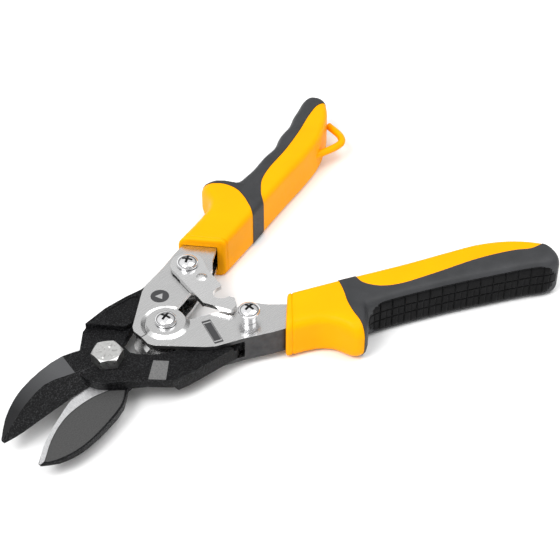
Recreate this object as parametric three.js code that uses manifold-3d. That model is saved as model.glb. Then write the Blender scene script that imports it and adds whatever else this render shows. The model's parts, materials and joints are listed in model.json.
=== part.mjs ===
// Compound-action aviation snips, drawn fully open and lying flat.
// Millimetres. The blade pivot is on the Z axis, the tool points along -X, the handles lie along +X,
// handle A is on the +Y side and handle B on the -Y side. z = 0 is the surface the tool rests on.
import * as THREE from "three";
import { mergeVertices } from "three/addons/utils/BufferGeometryUtils.js";
import Module from "manifold-3d";

// ---------------------------------------------------------------- driving dimensions
const GRIP_THICKNESS = 21; // grips, along Z
const MID = GRIP_THICKNESS / 2; // height of the plane in which the blades shear
const SHEAR_GAP = 0.3; // between the two blades' flat faces
const FACE_GAP = 0.2; // between pieces that lie on each other
const FIT_GAP = 0.2; // radial, between a pin and its hole
const LINK_PLAY = 0.55; // radial play of the pin that closes the linkage, in the upper blade's tang

const JAW_LENGTH = 58; // blade pivot to the upper blade's point
const HANDLE_PIVOT_X = 30.8; // pivot that joins the two handles
const TANG_PIVOT_X = 59.5; // pivots that join each handle to a blade's tang
const TANG_PIVOT_Y = 21.6;

const NECK_CLEARANCE = 0.3; // between a blade's neck and the frame's plate beside it
const BOSS_RADIUS = 13.8;
const BOSS_RELIEF = 4; // how much nearer the boss's edge lies on the handles' side
const TANG_THICKNESS = 5;
const TANG_EYE_RADIUS = 7.2;

const BOLT_RADIUS = 4.8;
const BOLT_HEAD_FLATS = 12;
const BOLT_HEAD_HEIGHT = 5.2;
const BOLT_CHAMFER = 0.5;
const PIVOT_NUT_FLATS = 13;
const LOCK_WASHER_RADIUS = 8.6;
const LOCK_WASHER_THICKNESS = 1;

const SHEET = 2; // steel sheet of the handle frames
const EYE_STEP_GAP = 0.3; // between the two frames' plates at the handle pivot
const SEAT_MARGIN = 3.8; // pressed eye's rim round the handle pivot screw's head
const WASHER_THICKNESS = 1.6; // spacing washer on each side of a tang
const SCREW_RADIUS = 2.9;
const SCREW_HEAD_RADIUS = 4.75;
const SCREW_HEAD_HEIGHT = 3.2;
const SCREW_HEAD_RIM = 0.7;
const SCREW_NUT_HEIGHT = 2.1;
const SCREW_NUT_FLATS = 2 * SCREW_HEAD_RADIUS - 0.6;
const STUD_RADIUS = 3.25; // the tall neck that the latch hooks round
const STUD_NECK = 4.6; // neck height over the frame
const SLEEVE_WALL = 1.5;

const LATCH_THICKNESS = 2;
const LATCH_BOSS_RADIUS = 7.6;
const LATCH_LIFT = 0.9; // latch underside over the frame
const LATCH_FLANGE = 0.6; // how far the latch's turned edge hangs below it
const WAVE_WASHER_THICKNESS = 0.4;
const WAVE_WASHER_RADIUS = 6;

const SPRING_WIRE = 1.5;
const SPRING_TURNS = 2;
const COIL_GAP = 0.12;
const SPRING_LEG = 13;

const HANDLE_ANGLE = 19.5; // each grip's axis to the X axis, degrees
const GRIP_LENGTH = 126;
const GRIP_LONGER = { a: 0, b: 3 }; // how much each grip is longer than that
const GRIP_INNER = 11.3; // grip axis to its inner side
const GRIP_OUTER = { a: 7.2, b: 8.8 }; // grip axis to its outer side
const GRIP_SLIM = { a: 2, b: -0.5 }; // how much the inner side draws in towards the grip's end
const GRIP_ROUND = 2; // rounding of the grip's long edges
const GRIP_STEPS = 66; // points round a grip's outline
const GRIP_REAR = 45; // where a grip's stretch behind the guard begins, along the grip
const FRAME_IN_GRIP = 84; // how far the steel frame reaches into the grip
const OVERMOULD = 2.4; // thickness of the rubber on the grip core
const OVERMOULD_GAP = 0.3;
const SLOT_GAP = 0.3; // between the grip and the frame's outer and inner sides
const GUARD_REACH = 22; // finger guard tip to the grip axis
const GUARD_AT = { a: 39.5, b: 28 }; // finger guard tip, along each grip
const BAND_AT = { a: 32, b: 29 }; // front of the rubber band, along each grip
const LOOP_BAR = 3.2; // hanging loop

// ---------------------------------------------------------------- derived places
const TANG_HALF = TANG_THICKNESS / 2;
const CHANNEL_INNER = TANG_HALF + WASHER_THICKNESS + 2 * FACE_GAP; // half the inside height of a frame
const CHANNEL_OUTER = CHANNEL_INNER + SHEET;
const BOSS_FACE = CHANNEL_INNER - NECK_CLEARANCE; // a blade's flat outer face, from MID
const BLADE_THICKNESS = BOSS_FACE - SHEAR_GAP / 2;
const FRAME_TOP = MID + CHANNEL_OUTER;
const FRAME_BOTTOM = MID - CHANNEL_OUTER;
const EYE_OFFSET = (SHEET + EYE_STEP_GAP) / 2; // how far each frame is pressed out of line at that pivot
const EYE_RADIUS = SCREW_HEAD_RADIUS + SEAT_MARGIN;
const EYE_SLOPE = 1.8; // width of the pressed slope round an eye
const EYE_NESTING = 0.5; // how much the inner frame's eye is narrower, and its seat wider, than the outer's
const HANDLE_PIVOT = [HANDLE_PIVOT_X, 0];
const tangPivot = (side) => [TANG_PIVOT_X, side * TANG_PIVOT_Y];
const PIVOT_A = tangPivot(1);
const PIVOT_B = tangPivot(-1);
const TALL = 100; // more than any height, for cuts that go right through

// ---------------------------------------------------------------- solids
const wasm = await Module();
wasm.setup();

function solid(geometry) {
  const bare = geometry.clone();
  bare.deleteAttribute("normal");
  bare.deleteAttribute("uv");
  const merged = mergeVertices(bare, 1e-4);
  const vertProperties = merged.attributes.position.array;
  const triVerts = new Uint32Array(merged.index.array);
  return new wasm.Manifold(new wasm.Mesh({ numProp: 3, vertProperties, triVerts }));
}

function mesh(name, shape, look) {
  const { vertProperties, triVerts } = shape.getMesh();
  const geometry = new THREE.BufferGeometry();
  geometry.setAttribute("position", new THREE.BufferAttribute(vertProperties, 3));
  geometry.setIndex(new THREE.BufferAttribute(triVerts, 1));
  geometry.computeVertexNormals();
  const made = new THREE.Mesh(geometry, new THREE.MeshStandardMaterial(look));
  made.name = name;
  return made;
}

const outline = (points) => new THREE.Shape(points.map(([x, y]) => new THREE.Vector2(x, y)));

// A flat piece of the given outline between two heights.
function slab(points, low, high) {
  const geometry = new THREE.ExtrudeGeometry(outline(points), { depth: high - low, bevelEnabled: false });
  return solid(geometry.translate(0, 0, low));
}

// An anticlockwise outline moved inwards by a distance, with mitred corners.
function inset(points, distance) {
  const n = points.length;
  const inward = (p, q) => {
    const size = Math.hypot(q[0] - p[0], q[1] - p[1]);
    return [(p[1] - q[1]) / size, (q[0] - p[0]) / size];
  };
  return points.map((p, i) => {
    const a = inward(points[(i + n - 1) % n], p);
    const b = inward(p, points[(i + 1) % n]);
    const scale = distance / (1 + a[0] * b[0] + a[1] * b[1]);
    return [p[0] + (a[0] + b[0]) * scale, p[1] + (a[1] + b[1]) * scale];
  });
}

// A flat piece with rounded long edges: the outline is stacked in layers that draw in towards both faces.
function roundedSlab(points, low, high, radius, segments = 3) {
  const quarter = Array.from({ length: segments + 1 }, (_, i) => (Math.PI / 2) * (i / segments));
  const lower = quarter.map((a) => [radius * (1 - Math.sin(a)), low + radius * (1 - Math.cos(a))]);
  const upper = quarter.map((a) => [radius * (1 - Math.cos(a)), high - radius * (1 - Math.sin(a))]);
  const layers = [...lower, ...upper].map(([by, z]) => inset(points, by).map(([x, y]) => [x, y, z]));
  return loft(layers);
}

// A solid of revolution about a vertical axis, from [radius, height] points.
function turned(profile, [x, y], sides = 32) {
  const points = profile.map(([r, z]) => new THREE.Vector2(r, z));
  return solid(new THREE.LatheGeometry(points, sides).rotateX(Math.PI / 2).translate(x, y, 0));
}

const disc = (radius, low, high, at, sides = 32) =>
  turned([[0, low], [radius, low], [radius, high], [0, high]], at, sides);

const ring = (inner, outer, low, high, at, sides = 32) =>
  turned([[inner, low], [outer, low], [outer, high], [inner, high], [inner, low]], at, sides);

const hexagon = (flats, low, high, at) => disc(flats / Math.sqrt(3), low, high, at, 6);

// A smooth open curve through [x, y] or [x, y, z] points.
function smooth(points, steps) {
  const through = points.map(([x, y, z = 0]) => new THREE.Vector3(x, y, z));
  const curve = new THREE.CatmullRomCurve3(through, false, "centripetal");
  return curve.getPoints(steps).map((p) => [p.x, p.y, p.z]);
}

function arc([x, y], radius, from, to, steps = 10) {
  return Array.from({ length: steps + 1 }, (_, i) => {
    const angle = THREE.MathUtils.degToRad(from + ((to - from) * i) / steps);
    return [x + radius * Math.cos(angle), y + radius * Math.sin(angle)];
  });
}

// A closed body through equal-length sections, each an anticlockwise loop of [x, y, z] points seen from
// the last section.
function loft(sections, capPlane = ([x, y]) => [x, y]) {
  const around = sections[0].length;
  const at = (row, i) => row * around + (i % around);
  const faces = [];
  for (let row = 0; row + 1 < sections.length; row++) {
    for (let i = 0; i < around; i++) {
      faces.push(at(row, i), at(row, i + 1), at(row + 1, i));
      faces.push(at(row, i + 1), at(row + 1, i + 1), at(row + 1, i));
    }
  }
  const last = sections.length - 1;
  // The triangulation leaves out a point that lies exactly on a straight side, so it sees each point
  // moved by a hair.
  const hair = (i) => 1e-3 * Math.sin(3 * i);
  const cap = (row) => {
    const flat = sections[row].map((p, i) => new THREE.Vector2(...capPlane(p)).addScalar(hair(i)));
    const triangles = THREE.ShapeUtils.triangulateShape(flat, []);
    return THREE.ShapeUtils.isClockWise(flat) ? triangles.map(([a, b, c]) => [a, c, b]) : triangles;
  };
  for (const [a, b, c] of cap(0)) faces.push(at(0, a), at(0, c), at(0, b));
  for (const [a, b, c] of cap(last)) faces.push(at(last, a), at(last, b), at(last, c));
  const geometry = new THREE.BufferGeometry();
  geometry.setAttribute("position", new THREE.Float32BufferAttribute(sections.flat(2), 3));
  geometry.setIndex(faces);
  return solid(geometry);
}

const mirroredY = (points) => points.map(([x, y, ...rest]) => [x, -y, ...rest]).reverse();

// Every outline below is written for the +Y side; side -1 mirrors it.
const onSide = (side, points) => (side > 0 ? points : mirroredY(points));
const from = ([x, y], points) => points.map(([dx, dy]) => [x + dx, y + dy]);

// ---------------------------------------------------------------- looks
const LOOKS = {
  blackSteel: { color: 0x2b2c2e, roughness: 0.55, metalness: 0.8 },
  zinc: { color: 0xb9bab8, roughness: 0.3, metalness: 1 },
  nickel: { color: 0xc9cac9, roughness: 0.3, metalness: 1 },
  chrome: { color: 0xd8d9da, roughness: 0.12, metalness: 1 },
  springSteel: { color: 0x6a6b6d, roughness: 0.35, metalness: 1 },
  yellow: { color: 0xffbf0a, roughness: 0.5, metalness: 0 },
  rubber: { color: 0x3f4143, roughness: 0.75, metalness: 0 },
};

// ---------------------------------------------------------------- blades
// Each jaw is lofted along three rails: the cutting edge, the ridge and the back.
// Rail heights count from the shear plane, away from the other blade.
const JAW_STEPS = 12;
const JAW_DRAWN = 58; // jaw length at which the rails below are drawn
const THICKNESS_DRAWN = 4.05; // and the blade's thickness
const jawScale = JAW_LENGTH / JAW_DRAWN;
const liftScale = BLADE_THICKNESS / THICKNESS_DRAWN;
const reach = (points) => points.map(([x, y, z]) => [x < 0 ? x * jawScale : x, y, z * liftScale]);

const UPPER_RAILS = {
  edge: [
    [-57.7, -8.3, 0], [-50.7, -8.4, 0], [-40, -7.1, 0], [-30, -5.9, 0], [-20.7, -4.9, 0], [-6, -4.2, 0],
  ],
  ridge: [
    [-57, -7, 1.4], [-46.8, -1.7, 2.9], [-39.6, 1.6, 3.8], [-28, 4.8, 4.6], [-17, 2.8, 4.5], [-6, 1, 4.05],
  ],
  back: [
    [-57.9, -6.6, 1], [-51, 1.2, 1.7], [-43, 7.3, 2.2], [-36, 10.8, 2.6], [-25, 14, 3], [-13, 15.1, 3.2],
    [-4, 12.4, 3.4],
  ],
};
const LOWER_RAILS = {
  edge: [
    [-53.2, -26.1, 0], [-46.4, -19.6, 0], [-40, -15, 0], [-32.9, -10.7, 0], [-25, -6.4, 0],
    [-19.3, -4.5, 0], [-6, -2, 0],
  ],
  ridge: [
    [-52.7, -26.6, 1.4], [-46, -25, 2.9], [-38, -22, 3.8], [-28, -17.5, 4.6], [-18, -13, 4.5],
    [-6, -7, 4.05],
  ],
  back: [
    [-52.6, -27.2, 1], [-46, -30, 1.9], [-39, -30.8, 2.4], [-31, -29.9, 2.8], [-18.6, -26.3, 3.2],
    [-8, -21.6, 3.4], [1, -12.8, 3.4],
  ],
};
const EDGE_LAND = 0.35; // blunt height of the cutting edge

function jaw(rails, up) {
  const curve = (rail) => smooth(reach(rail), JAW_STEPS);
  const edge = curve(rails.edge);
  const ridge = curve(rails.ridge);
  const back = curve(rails.back);
  const height = (z) => MID + up * (SHEAR_GAP / 2 + z);
  const sections = edge.map((e, i) => {
    const r = ridge[i];
    const b = back[i];
    return [
      [e[0], e[1], height(0)],
      [b[0], b[1], height(0)],
      [b[0], b[1], height(b[2])],
      [r[0], r[1], height(r[2])],
      [e[0], e[1], height(EDGE_LAND)],
    ];
  });
  return loft(sections, ([, y, z]) => [y, z]);
}

// The tang runs from the boss round the handle pivot to its eye. Its neck lies on its own blade's side of
// the shear plane, and its far part is cranked level with that plane.
const BOSS_CLEARANCE = BOSS_RADIUS + 0.8;
const BOSS_SIDES = 48;

function bossOutline() {
  return Array.from({ length: BOSS_SIDES }, (_, i) => {
    const angle = (2 * Math.PI * i) / BOSS_SIDES;
    const radius = BOSS_RADIUS - BOSS_RELIEF * Math.max(0, Math.cos(angle)) ** 1.5;
    return [radius * Math.cos(angle), radius * Math.sin(angle)];
  });
}

function tangOutline(rootPoints) {
  const inner = from(PIVOT_A, [[-29.5, -5.6], [-19.5, -5.2], [-9.5, -6.2]]);
  const outer = from(PIVOT_A, [[-9.2, 4.6], [-13.5, 7.9]]);
  return [...inner, ...arc(PIVOT_A, TANG_EYE_RADIUS, -130, 130, 14), ...outer, ...rootPoints];
}

function blade({ name, up, side, rails, neck, thick, eyeHole }) {
  const layer = (near, far) => [MID + Math.min(up * near, up * far), MID + Math.max(up * near, up * far)];
  const half = SHEAR_GAP / 2;
  const boss = slab(bossOutline(), ...layer(half, BOSS_FACE));
  const neckPart = slab(onSide(side, neck), ...layer(half, BOSS_FACE));
  const thickPart = slab(onSide(side, tangOutline(thick)), ...layer(-TANG_HALF, TANG_HALF));
  const otherBlade = disc(BOSS_CLEARANCE, ...layer(-TALL, half), [0, 0], BOSS_SIDES);
  const pinHole = disc(BOLT_RADIUS + FIT_GAP, MID - TALL, MID + TALL, [0, 0]);
  const tangHole = disc(eyeHole, MID - TALL, MID + TALL, tangPivot(side), 24);
  const body = jaw(rails, up).add(boss).add(neckPart).add(thickPart.subtract(otherBlade));
  return mesh(name, body.subtract(pinHole).subtract(tangHole), LOOKS.blackSteel);
}

// Outlines of both blades' necks, and of their tangs from the eye's outer side back to the neck.
const NECK_INNER = [[8.6, 1], [11.4, 5], [15.5, 9.4], [22.5, 13.4], [30, 16]];
const UPPER_NECK = [
  ...NECK_INNER, [36, 19], [43, 22.5], [44.5, 29.2], [34, 29.1], [20.5, 28.8], [13.4, 27.6], [5.3, 20.4],
  [-0.4, 16.7], [-9, 9.3], [-8, 0],
];
const UPPER_THICK = [
  [44.5, 29.2], [34, 29.1], [20.5, 28.8], [15.6, 28], [13.6, 15], [15.5, 9.4], [22.5, 13.4],
];
const LOWER_NECK = [
  ...NECK_INNER, [34, 22], [30.3, 28.5], [18.8, 28.3], [6.4, 25.9], [4, 24.7], [-9, 10.2], [-8, 0],
];
const LOWER_THICK = [
  [38.1, 27.9], [30.3, 28.5], [18.8, 28.3], [6.4, 25.9], [12.5, 19.6], [18.1, 13.4], [22.5, 13.4],
];

const bladeUpper = blade({
  name: "blade_upper",
  up: 1,
  side: -1,
  rails: UPPER_RAILS,
  neck: UPPER_NECK,
  thick: UPPER_THICK,
  eyeHole: SCREW_RADIUS + LINK_PLAY,
});
const bladeLower = blade({
  name: "blade_lower",
  up: -1,
  side: 1,
  rails: LOWER_RAILS,
  neck: LOWER_NECK,
  thick: LOWER_THICK,
  eyeHole: SCREW_RADIUS + FIT_GAP,
});

// ---------------------------------------------------------------- blade pivot
const BOSS_TOP = MID + BOSS_FACE;
const BOSS_BOTTOM = MID - BOSS_FACE;
const LOCK_WASHER_TOP = BOSS_BOTTOM - FACE_GAP;
const PIVOT_NUT_TOP = LOCK_WASHER_TOP - LOCK_WASHER_THICKNESS - FACE_GAP;

function pivotBolt() {
  const low = BOSS_TOP + FACE_GAP;
  const high = low + BOLT_HEAD_HEIGHT;
  const corner = BOLT_HEAD_FLATS / Math.sqrt(3);
  const topRadius = BOLT_HEAD_FLATS / 2 - 0.2;
  const chamfer = [[0, low], [corner, low], [corner, high - BOLT_CHAMFER], [topRadius, high], [0, high]];
  const head = hexagon(BOLT_HEAD_FLATS, low, high, [0, 0]).intersect(turned(chamfer, [0, 0], 36));
  return mesh("blade_pivot_bolt", head.add(disc(BOLT_RADIUS, 0, low + 1, [0, 0])), LOOKS.zinc);
}

function pivotNut() {
  const nut = hexagon(PIVOT_NUT_FLATS, 0, PIVOT_NUT_TOP, [0, 0]);
  return mesh("blade_pivot_nut", nut.subtract(disc(BOLT_RADIUS + FIT_GAP, -1, TALL, [0, 0])), LOOKS.zinc);
}

function pivotLockWasher() {
  const low = LOCK_WASHER_TOP - LOCK_WASHER_THICKNESS;
  const washer = ring(BOLT_RADIUS + FIT_GAP, LOCK_WASHER_RADIUS, low, LOCK_WASHER_TOP, [0, 0]);
  return mesh("blade_pivot_lock_washer", washer, LOOKS.zinc);
}

// ---------------------------------------------------------------- handle axes
// A point given along a handle's axis and away from the tool's centre line, for the +Y handle.
const MOUTH = [TANG_PIVOT_X + 12.5, TANG_PIVOT_Y + 8.8]; // grip's front, where the frame enters it
const axisAngle = THREE.MathUtils.degToRad(HANDLE_ANGLE);
const along = ([s, t]) => [
  MOUTH[0] + s * Math.cos(axisAngle) - t * Math.sin(axisAngle),
  MOUTH[1] + s * Math.sin(axisAngle) + t * Math.cos(axisAngle),
];
const alongAll = (points) => points.map(along);

// ---------------------------------------------------------------- steel handle frames
// Two plates joined by a web along the outer side. The frame's plates meet the other frame's on the
// centre line in front of the handle pivot, which stops the tool at its full opening.
const WEB_START = -20.4; // along the handle axis
const frameOuter = [[WEB_START, 5.9], [-8, 6.6], [0, 6.4], [FRAME_IN_GRIP, 5.4]];
const frameInner = [[FRAME_IN_GRIP, -5.4], [4, -7.6], [-4, -10.5], [-9.5, -13.9]];
const STOP_GAP = 0.2; // each frame's nose to the centre line

function framePlateOutline() {
  const [x] = HANDLE_PIVOT;
  const nose = [[x - 13.2, STOP_GAP], [x - 13.5, 5], [x - 12.2, 7.6], [x + 4, 22.6], [x + 7.6, 25]];
  const hip = from(PIVOT_A, [[1.8, -9.5], [-2.8, -9.9], [-8.5, -12.8], [-20.2, -17.2]]);
  const throat = [[x + EYE_RADIUS - 0.6, STOP_GAP]];
  return [...alongAll(frameOuter), ...alongAll(frameInner), ...hip, ...throat, ...nose].reverse();
}

function webOutline() {
  const inside = frameOuter.map(([s, t]) => [s, t - SHEET]);
  return [...alongAll(frameOuter), ...alongAll(inside.reverse())].reverse();
}

// One plate, pressed out of line round the handle pivot. offset is that step, away from the tool's middle.
function framePlate(side, offset) {
  const flat = onSide(side, framePlateOutline());
  const [low, high] = [MID + CHANNEL_INNER, FRAME_TOP];
  const eye = HANDLE_PIVOT;
  const cone = (radius, shift) => turned(
    [[0, low + shift], [radius, low + shift], [radius + EYE_SLOPE, low], [radius + EYE_SLOPE, high],
      [radius, high + shift], [0, high + shift]],
    eye,
    48,
  );
  const seat = offset > 0 ? EYE_RADIUS : EYE_RADIUS + EYE_NESTING;
  const pressed = cone(seat, offset).intersect(slab(flat, low - SHEET, high + SHEET));
  const plate = slab(flat, low, high).subtract(disc(seat + EYE_SLOPE, low - SHEET, high + SHEET, eye, 48));
  const discRadius = offset > 0 ? EYE_RADIUS : EYE_RADIUS - EYE_NESTING;
  const eyeDisc = disc(discRadius, low + offset, high + offset, eye, 48);
  return plate.add(pressed).add(eyeDisc);
}

function handleFrame(name, side, offset) {
  const top = framePlate(side, offset);
  const bottom = top.mirror([0, 0, 1]).translate([0, 0, 2 * MID]);
  const web = slab(onSide(side, webOutline()), FRAME_BOTTOM, FRAME_TOP);
  const hole = (at) => disc(SCREW_RADIUS + FIT_GAP, MID - TALL, MID + TALL, at, 24);
  const body = top.add(bottom).add(web);
  return mesh(name, body.subtract(hole(HANDLE_PIVOT)).subtract(hole(tangPivot(side))), LOOKS.nickel);
}

// ---------------------------------------------------------------- screws, nuts, washers and sleeve
function domedHead(base, at) {
  const steps = 6;
  const dome = Array.from({ length: steps }, (_, i) => {
    const angle = ((Math.PI / 2) * i) / steps;
    const rise = SCREW_HEAD_RIM + (SCREW_HEAD_HEIGHT - SCREW_HEAD_RIM) * Math.sin(angle);
    return [SCREW_HEAD_RADIUS * Math.cos(angle), base + rise];
  });
  return turned([[0, base], [SCREW_HEAD_RADIUS, base], ...dome, [0, base + SCREW_HEAD_HEIGHT]], at);
}

// A screw whose head sits at headBase, reaching down to low; neck is a thicker length under the head.
function screw(name, at, headBase, low, neck = 0) {
  const shank = disc(SCREW_RADIUS, low, headBase + 0.5, at, 24);
  const plain = domedHead(headBase, at).add(shank);
  const body = neck > 0 ? plain.add(disc(STUD_RADIUS, headBase - neck, headBase + 0.5, at, 24)) : plain;
  return mesh(name, body, LOOKS.chrome);
}

function screwNut(name, at, high) {
  const nut = hexagon(SCREW_NUT_FLATS, high - SCREW_NUT_HEIGHT, high, at);
  return mesh(name, nut.subtract(disc(SCREW_RADIUS + FIT_GAP, -TALL, TALL, at, 24)), LOOKS.zinc);
}

const LATCH_BOTTOM = FRAME_TOP + LATCH_LIFT;
const LATCH_TOP = LATCH_BOTTOM + LATCH_THICKNESS;
const PIVOT_SEAT = CHANNEL_OUTER + EYE_OFFSET + FACE_GAP; // handle pivot's head and nut seats, from MID
const nutEnd = (seat) => seat - SCREW_NUT_HEIGHT;

function tangWasher(name, side, above) {
  const low = above > 0 ? MID + TANG_HALF + FACE_GAP : MID - TANG_HALF - FACE_GAP - WASHER_THICKNESS;
  const outer = TANG_EYE_RADIUS - 0.4;
  const washer = ring(SCREW_RADIUS + FIT_GAP, outer, low, low + WASHER_THICKNESS, tangPivot(side), 28);
  return mesh(name, washer, LOOKS.zinc);
}

const SLEEVE_HALF = CHANNEL_INNER - EYE_OFFSET - FACE_GAP;
const SLEEVE_RADIUS = SCREW_RADIUS + FIT_GAP + SLEEVE_WALL;

function pivotSleeve() {
  const [low, high] = [MID - SLEEVE_HALF, MID + SLEEVE_HALF];
  const sleeve = ring(SCREW_RADIUS + FIT_GAP, SLEEVE_RADIUS, low, high, HANDLE_PIVOT, 24);
  return mesh("handle_pivot_sleeve", sleeve, LOOKS.zinc);
}

// ---------------------------------------------------------------- opening spring
// A torsion spring round the sleeve, with one straight leg towards each tang.
class SpringPath extends THREE.Curve {
  getPoint(t) {
    const radius = SLEEVE_RADIUS + 2 * FIT_GAP + SPRING_WIRE / 2;
    const legAngle = (2 * Math.PI) / 3;
    const sweep = 2 * Math.PI * SPRING_TURNS + 2 * Math.PI - 2 * legAngle;
    const pitch = SPRING_WIRE + COIL_GAP;
    const rise = (pitch * sweep) / (2 * Math.PI);
    const length = radius * sweep;
    const distance = t * (length + 2 * SPRING_LEG) - SPRING_LEG;
    const turn = Math.min(Math.max(distance / length, 0), 1);
    const angle = legAngle + turn * sweep;
    const over = distance - turn * length;
    return new THREE.Vector3(
      HANDLE_PIVOT_X + radius * Math.cos(angle) - over * Math.sin(angle),
      radius * Math.sin(angle) + over * Math.cos(angle),
      MID + (turn - 0.5) * rise,
    );
  }
}

function spring() {
  const section = new THREE.Shape().absarc(0, 0, SPRING_WIRE / 2, 0, 2 * Math.PI);
  const settings = { steps: 72, curveSegments: 8, extrudePath: new SpringPath() };
  return mesh("opening_spring", solid(new THREE.ExtrudeGeometry(section, settings)), LOOKS.springSteel);
}

// ---------------------------------------------------------------- latch
// A hooked plate on handle A's pivot. Its notch lies on the arc that the stud of handle B crosses.
const HANDLE_ARM = Math.hypot(TANG_PIVOT_X - HANDLE_PIVOT_X, TANG_PIVOT_Y);
const CLOSING_TURN = THREE.MathUtils.degToRad(17); // each handle, from open to closed
const OPEN_ANGLE = Math.asin(TANG_PIVOT_Y / HANDLE_ARM);
const NOTCH_RADIUS = 2 * HANDLE_ARM * Math.sin(OPEN_ANGLE - CLOSING_TURN); // tang pivots apart, closed
const NOTCH_HALF = STUD_RADIUS + 0.35;
const NOTCH_END = -0.5; // notch's round end, from the latch pivot's line

function latchOutline() {
  const y = -NOTCH_RADIUS;
  const boss = arc([0, 0], LATCH_BOSS_RADIUS, -30, 188, 14);
  const left = [[-8.9, -11.6], [-10.3, -24.1], [-4.6, y - 10.2], [-3.1, y - 11.4]];
  const hook = [[0.1, y - 10], [2.1, y - 6], [0.9, y - NOTCH_HALF - 0.2]];
  const notch = arc([NOTCH_END, y], NOTCH_HALF, 270, 90, 8);
  const tab = [[2.5, y + NOTCH_HALF], [3.1, y + NOTCH_HALF + 1.6], [4.7, -8.1]];
  return from(PIVOT_A, [...boss, ...left, ...hook, ...notch, ...tab]);
}

function latch() {
  const plate = slab(latchOutline(), LATCH_BOTTOM, LATCH_TOP);
  const outside = [[-8.1, -4.9], [-8.9, -11.6], [-10.3, -24.1]];
  const inside = [[-8.9, -24.4], [-7.5, -11.6], [-6.7, -4.9]];
  const flange = slab(from(PIVOT_A, [...outside, ...inside]), LATCH_BOTTOM - LATCH_FLANGE, LATCH_TOP);
  const hole = disc(SCREW_RADIUS + FIT_GAP, 0, TALL, PIVOT_A, 24);
  return mesh("latch", plate.add(flange).subtract(hole), LOOKS.nickel);
}

function latchWaveWasher() {
  const low = FRAME_TOP + FACE_GAP;
  const high = low + WAVE_WASHER_THICKNESS;
  const washer = ring(SCREW_RADIUS + FIT_GAP, WAVE_WASHER_RADIUS, low, high, PIVOT_A, 28);
  return mesh("latch_wave_washer", washer, LOOKS.springSteel);
}

// ---------------------------------------------------------------- grips
// Grip outlines are [along, across] the handle axis, across being positive on the tool's outer side.
// A place along the grip, from the start of the stretch behind the guard (0) to the grip's end (1).
const gripShare = (key, f) => GRIP_REAR + f * (GRIP_LENGTH + GRIP_LONGER[key] - GRIP_REAR);

function gripOutline(key) {
  const guard = GUARD_AT[key];
  const side = GRIP_OUTER[key];
  const slim = GRIP_SLIM[key];
  const share = (f) => gripShare(key, f);
  const inner = [[5.6, -GRIP_INNER], [29, -GRIP_INNER], [share(0.2), -GRIP_INNER + 0.4],
    [share(0.45), -GRIP_INNER + 0.2 * slim], [share(0.62), -GRIP_INNER + 0.2 + 0.6 * slim],
    [share(0.77), -GRIP_INNER + 2.7 + slim], [share(0.89), -GRIP_INNER + 6.9 + slim],
    [share(0.975), 1 + slim]];
  const end = [[share(1), 6.4 + 0.5 * slim], [share(0.98), 11.2], [share(0.93), 12.6]];
  const outer = [[share(0.8), 11.1], [share(0.6), (side + 10.6) / 2], [share(0.45), side],
    [share(0.28), side - 0.7]];
  const guardBack = [[guard + 16, side - 0.8], [guard + 9, side + 0.3], [guard + 5.8, side + 3],
    [guard + 4.2, GUARD_REACH - 5.5], [guard + 2.4, GUARD_REACH - 1.9], [guard - 0.8, GUARD_REACH - 0.3]];
  const guardFront = [[guard - 4, GUARD_REACH - 1.9], [guard - 6.4, GUARD_REACH - 5.4], [guard - 9.6, 12.6],
    [guard - 14, 10], [guard - 21, 9], [-3, 9]];
  return smooth([...inner, ...end, ...outer, ...guardBack, ...guardFront], GRIP_STEPS);
}

// The stretch of the grip that the rubber covers: behind the guard, across the grip as a band, and
// along the outer side.
function rubberRegion(key, shrink) {
  const guard = GUARD_AT[key];
  const band = BAND_AT[key];
  const front = [[band + shrink, -30], [band + 0.5 + shrink, -9], [guard - 2 + shrink, 4],
    [guard - 1.5 + shrink, 40]];
  const back = [[GRIP_LENGTH + 20, 40], [GRIP_LENGTH + 20, 0], [gripShare(key, 0.96), 0.6 + shrink]];
  const panel = [[gripShare(key, 0.8), 1.2 + shrink], [gripShare(key, 0.6), shrink],
    [gripShare(key, 0.25), -0.6 + shrink], [band + 23, shrink], [band + 15.5, -3 + shrink],
    [band + 10 - shrink, -7.5], [band + 8.5 - shrink, -30]];
  return [...front, ...back, ...panel].reverse();
}

function coreBarOutline(key, distance) {
  const side = GRIP_OUTER[key];
  const slim = Math.max(GRIP_SLIM[key], 0);
  const share = (f) => gripShare(key, f);
  const bar = [[16, -GRIP_INNER], [share(0.5), -GRIP_INNER + slim], [share(0.62), -GRIP_INNER + 0.5 + slim],
    [share(0.9), -2 + slim], [share(0.96), 3 + slim], [share(0.94), 9], [share(0.8), 9.4],
    [share(0.5), side - 0.9], [16, side - 0.9]];
  return inset(bar, OVERMOULD + distance);
}

// The hanging loop on grip A.
function loopParts() {
  const share = (f) => gripShare("a", f);
  const bars = [[share(0.56), -7.5], [share(0.75), -14.6], [share(0.8), -14.8], [share(0.845), -12],
    [share(0.9), -3]];
  const path = smooth(bars, 16);
  const outer = inset(path, -LOOP_BAR / 2);
  const inner = inset(path, LOOP_BAR / 2);
  return [...outer.slice(1, -1), ...inner.slice(1, -1).reverse()];
}

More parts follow.
